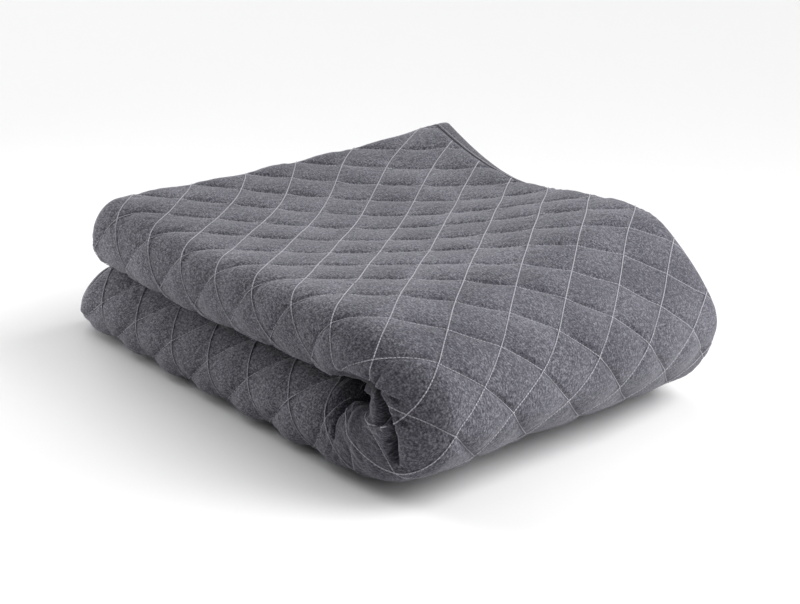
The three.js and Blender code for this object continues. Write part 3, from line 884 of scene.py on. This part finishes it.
jerseyLook = {
    "darkFibre": "#2a292f",
    "midFibre": "#53525a",
    "lightFibre": "#818088",
    "fibreWide": 1.6,            # mm across a marl of dark and light fibres, coarse enough to show
    "fibreLong": 3.6,            # mm along it
    "speck": 1.7,                # mm, brushed specks
    "mottle": 5.0,               # mm, clouds in the nap
    "mottleShare": 0.45,
    "broad": 60.0,               # mm, slow change of tone
    "broadShare": 0.25,
    "toneRange": (0.95, 1.75),   # from the darkest to the lightest fibre
    "middleTone": 1.35,          # tone that stays as it is where the marl shows more
    "marlGain": 0.5,             # how much more it shows there
    "knitBump": 0.1,
    "knitDepth": 0.6,            # mm
    "creaseShadeStrength": 0.5,          # painted shade deep in a crease, taken off the fibre tone
    "ior": 1.5,                  # fibres of cotton and polyester have about 1.5 to 1.6
    "roughness": 0.95,
    "gloss": 0.2,
    "nap": 0.25,                 # sheen of the brushed fibres
    "napSpread": 0.5,
    "napColor": "#d8d8de",
}
# the binding's darker fibres are painted shade for its outer edge, which turns down away from the light
bindingLook = dict(jerseyLook, darkFibre="#222127", midFibre="#4d4c52", lightFibre="#7e7d84")


def melangeJersey(name, look):
    # brushed melange jersey: dark and light fibres spun together give a fine marl along the knit,
    # and the brushed nap takes the gloss away and lights up softly at grazing angles
    material, tree, shader = startMaterial(name, {
        "IOR": look["ior"], "Roughness": look["roughness"], "Specular IOR Level": look["gloss"],
        "Sheen Weight": look["nap"], "Sheen Roughness": look["napSpread"],
        "Sheen Tint": toLinear(look["napColor"]),
    })
    cloth = addNode(tree, "ShaderNodeUVMap", uv_map="flatCloth").outputs["UV"]
    perMetre = (1 / (look["fibreLong"] * mm), 1 / (look["fibreWide"] * mm), 1)
    drawnOut = addNode(tree, "ShaderNodeMapping", {"Vector": cloth}, {"Scale": perMetre}).outputs["Vector"]
    patterns = {   # where each is laid, its size there, its detail and how rough that is
        "marl": (drawnOut, 1.0, 3.0, 0.65),
        "speck": (cloth, look["speck"] * mm, 2.0, 0.6),
        "mottle": (cloth, look["mottle"] * mm, 2.0, 0.5),
        "broad": (cloth, look["broad"] * mm, 1.0, 0.5),
    }
    noise = {}
    for pattern, (place, size, detail, rough) in patterns.items():
        grades = {"Scale": 1 / size, "Detail": detail, "Roughness": rough}
        noise[pattern] = addNode(tree, "ShaderNodeTexNoise", {"Vector": place}, grades,
                                 noise_dimensions="2D").outputs["Fac"]
    grain = addNode(tree, "ShaderNodeMath", {0: noise["marl"], 1: noise["speck"]}, operation="ADD").outputs[0]
    clouds = addNode(tree, "ShaderNodeMath", {0: noise["mottle"], 2: grain}, {1: look["mottleShare"]},
                     operation="MULTIPLY_ADD").outputs[0]
    tone = addNode(tree, "ShaderNodeMath", {0: noise["broad"], 2: clouds}, {1: look["broadShare"]},
                   operation="MULTIPLY_ADD").outputs[0]
    marled = addNode(tree, "ShaderNodeAttribute", attribute_name="marled").outputs["Fac"]
    gain = addNode(tree, "ShaderNodeMath", {0: marled}, {1: look["marlGain"], 2: 1.0},
                   operation="MULTIPLY_ADD").outputs[0]
    spread = addNode(tree, "ShaderNodeMath", {0: tone}, {1: look["middleTone"]},
                     operation="SUBTRACT").outputs[0]
    marlTone = addNode(tree, "ShaderNodeMath", {0: spread, 1: gain}, {2: look["middleTone"]},
                       operation="MULTIPLY_ADD").outputs[0]
    # painted shade: the fibre tone is darkened in the deep creases
    paintedCreaseShade = addNode(tree, "ShaderNodeAttribute", attribute_name="paintedCreaseShade").outputs["Fac"]
    shaded = addNode(tree, "ShaderNodeMath", {0: paintedCreaseShade, 2: marlTone},
                     {1: -look["creaseShadeStrength"]}, operation="MULTIPLY_ADD").outputs[0]
    darkest, lightest = look["toneRange"]
    ramp = addNode(tree, "ShaderNodeMapRange", {"Value": shaded}, {"From Min": darkest, "From Max": lightest})
    fibre = addNode(tree, "ShaderNodeValToRGB", {"Fac": ramp.outputs["Result"]})
    fibre.color_ramp.elements[0].color = toLinear(look["darkFibre"])
    fibre.color_ramp.elements[1].color = toLinear(look["lightFibre"])
    fibre.color_ramp.elements.new(0.5).color = toLinear(look["midFibre"])
    tree.links.new(fibre.outputs["Color"], shader.inputs["Base Color"])
    bump = addNode(tree, "ShaderNodeBump", {"Height": grain},
                   {"Strength": look["knitBump"], "Distance": look["knitDepth"] * mm})
    tree.links.new(bump.outputs["Normal"], shader.inputs["Normal"])
    return material


threadLook = {
    "dark": "#8a8991",
    "light": "#bebdc4",
    "twist": 2.5,                # mm, from light to dark along the thread, coarse enough to show
    "ior": 1.5,
    "roughness": 0.7,
}


def spunThread():
    # spun polyester thread: pale, matt, with a faint twist that breaks up the highlight
    finish = {"IOR": threadLook["ior"], "Roughness": threadLook["roughness"]}
    material, tree, shader = startMaterial("spunPolyesterThread", finish)
    cloth = addNode(tree, "ShaderNodeUVMap", uv_map="flatCloth").outputs["UV"]
    twist = addNode(tree, "ShaderNodeTexNoise", {"Vector": cloth},
                    {"Scale": 1 / (threadLook["twist"] * mm), "Detail": 2.0})
    tone = addNode(tree, "ShaderNodeValToRGB", {"Fac": twist.outputs["Fac"]})
    tone.color_ramp.elements[0].color = toLinear(threadLook["dark"])
    tone.color_ramp.elements[1].color = toLinear(threadLook["light"])
    tree.links.new(tone.outputs["Color"], shader.inputs["Base Color"])
    return material


# pieces
panel = quiltedPanel()
print("quilted panel", len(panel.data.polygons), "triangles")
binding = edgeBinding()
print("edge binding", len(binding.data.polygons), "faces")
threadA = stitches("quiltingThreadA", quiltingPaths("a"), faceRise, threadShape["thickA"])
threadB = stitches("quiltingThreadB", quiltingPaths("b"), faceRise, threadShape["thickB"])
topSizes = (threadShape["thickTop"], topstitch["size"])
topThread = stitches("bindingTopstitch", topstitchPaths(), bindingRise, *topSizes)
innerThread = stitches("bindingTopstitchInside", topstitchPaths(), bindingRiseInside, *topSizes)
threads = [threadA, threadB, topThread, innerThread]
print("thread", [len(piece.data.polygons) for piece in threads], "triangles")

panel.data.materials.append(melangeJersey("melangeJersey", jerseyLook))
binding.data.materials.append(melangeJersey("bindingJersey", bindingLook))
thread = spunThread()
for piece in threads:
    piece.data.materials.append(thread)

slots = [
    (panel, "melange_jersey"), (binding, "binding_jersey"),
    (threadA, "melange_jersey"), (threadB, "melange_jersey"),
    (topThread, "binding_jersey"), (innerThread, "binding_jersey"),
]
for piece, slot in slots:
    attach(piece, "root")
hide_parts("quilted_panel")
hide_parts("edge_binding")

# floor, lights and camera
studio = {
    "azimuth": 54.89,            # degrees round from -Y towards +X
    "elevation": 16.72,
    "distance": 1.970,
    "target": (0.0075, -0.0209, 0.080),
    "lens": 81.0,
    "sensor": 36.0,
    "floorHalf": 6.0,            # metres from the middle of the floor to its sides
    "floorColor": "#eeeeee",
    "floorRoughness": 0.9,
    "surround": 0.05,            # strength of the even light from all round
    "surroundColor": "#ffffff",
}


def studioFloorPaint():
    # matt paint on a studio floor: plain and pale, with no gloss to mirror the throw
    finish = {"Base Color": toLinear(studio["floorColor"]), "Roughness": studio["floorRoughness"]}
    return startMaterial("paleStudioFloor", finish)[0]


half = studio["floorHalf"]
floorMesh = bpy.data.meshes.new("paleFloor")
corners = [(-half, -half, 0), (half, -half, 0), (half, half, 0), (-half, half, 0)]
floorMesh.from_pydata(corners, [], [(0, 1, 2, 3)])
floor = bpy.data.objects.new("paleFloor", floorMesh)
floor.data.materials.append(studioFloorPaint())
bpy.context.scene.collection.objects.link(floor)

# broad soft lights, from azimuth (degrees round from -Y towards +X), elevation, strength and angle
broadLights = {
    "overheadLight": (0.0, 89.0, 0.55, 70.0),
    "backLight": (155.0, 25.0, 1.5, 50.0),
    "rightBackLight": (120.0, 40.0, 1.6, 60.0),
    "leftLight": (270.0, 30.0, 2.0, 60.0),
}
# nearer soft boxes that fade along the stack: place, the place they face, width and power
softBoxes = {
    "leftSoftBox": ((-1.05, -0.65, 0.12), (-0.35, -0.18, 0.10), 0.5, 6.5),
    "rightSoftBox": ((0.85, 0.45, 0.80), (0.25, 0.0, 0.10), 0.7, 7.0),
}


def towards(azimuth, elevation):   # the direction an azimuth and an elevation in degrees point to
    az, el = math.radians(azimuth), math.radians(elevation)
    return Vector((math.sin(az) * math.cos(el), -math.cos(az) * math.cos(el), math.sin(el)))


def addLamp(name, kind, strength, facing, place=(0, 0, 0)):
    light = bpy.data.lights.new(name, kind)
    light.energy = strength
    lamp = bpy.data.objects.new(name, light)
    lamp.location = place
    lamp.rotation_euler = facing.to_track_quat("-Z", "Y").to_euler()
    lamp.visible_camera = False
    bpy.context.scene.collection.objects.link(lamp)
    return light


for name, (azimuth, elevation, strength, angle) in broadLights.items():
    addLamp(name, "SUN", strength, -towards(azimuth, elevation)).angle = math.radians(angle)
for name, (place, faced, boxWidth, power) in softBoxes.items():
    box = addLamp(name, "AREA", power, Vector(faced) - Vector(place), place)
    box.shape = "DISK"
    box.size = boxWidth
world = bpy.data.worlds.new("paleStudio")
world.use_nodes = True
world.node_tree.nodes["Background"].inputs["Color"].default_value = toLinear(studio["surroundColor"])
world.node_tree.nodes["Background"].inputs["Strength"].default_value = studio["surround"]
bpy.context.scene.world = world
bpy.context.scene.view_settings.view_transform = "Standard"

back = towards(studio["azimuth"], studio["elevation"])
lensData = bpy.data.cameras.new("photoCamera")
lensData.lens = studio["lens"]
lensData.sensor_width = studio["sensor"]
camera = bpy.data.objects.new("photoCamera", lensData)
camera.location = Vector(studio["target"]) + back * studio["distance"]
camera.rotation_euler = (-back).to_track_quat("-Z", "Y").to_euler()
bpy.context.scene.collection.objects.link(camera)
bpy.context.scene.camera = camera
print("stage set")
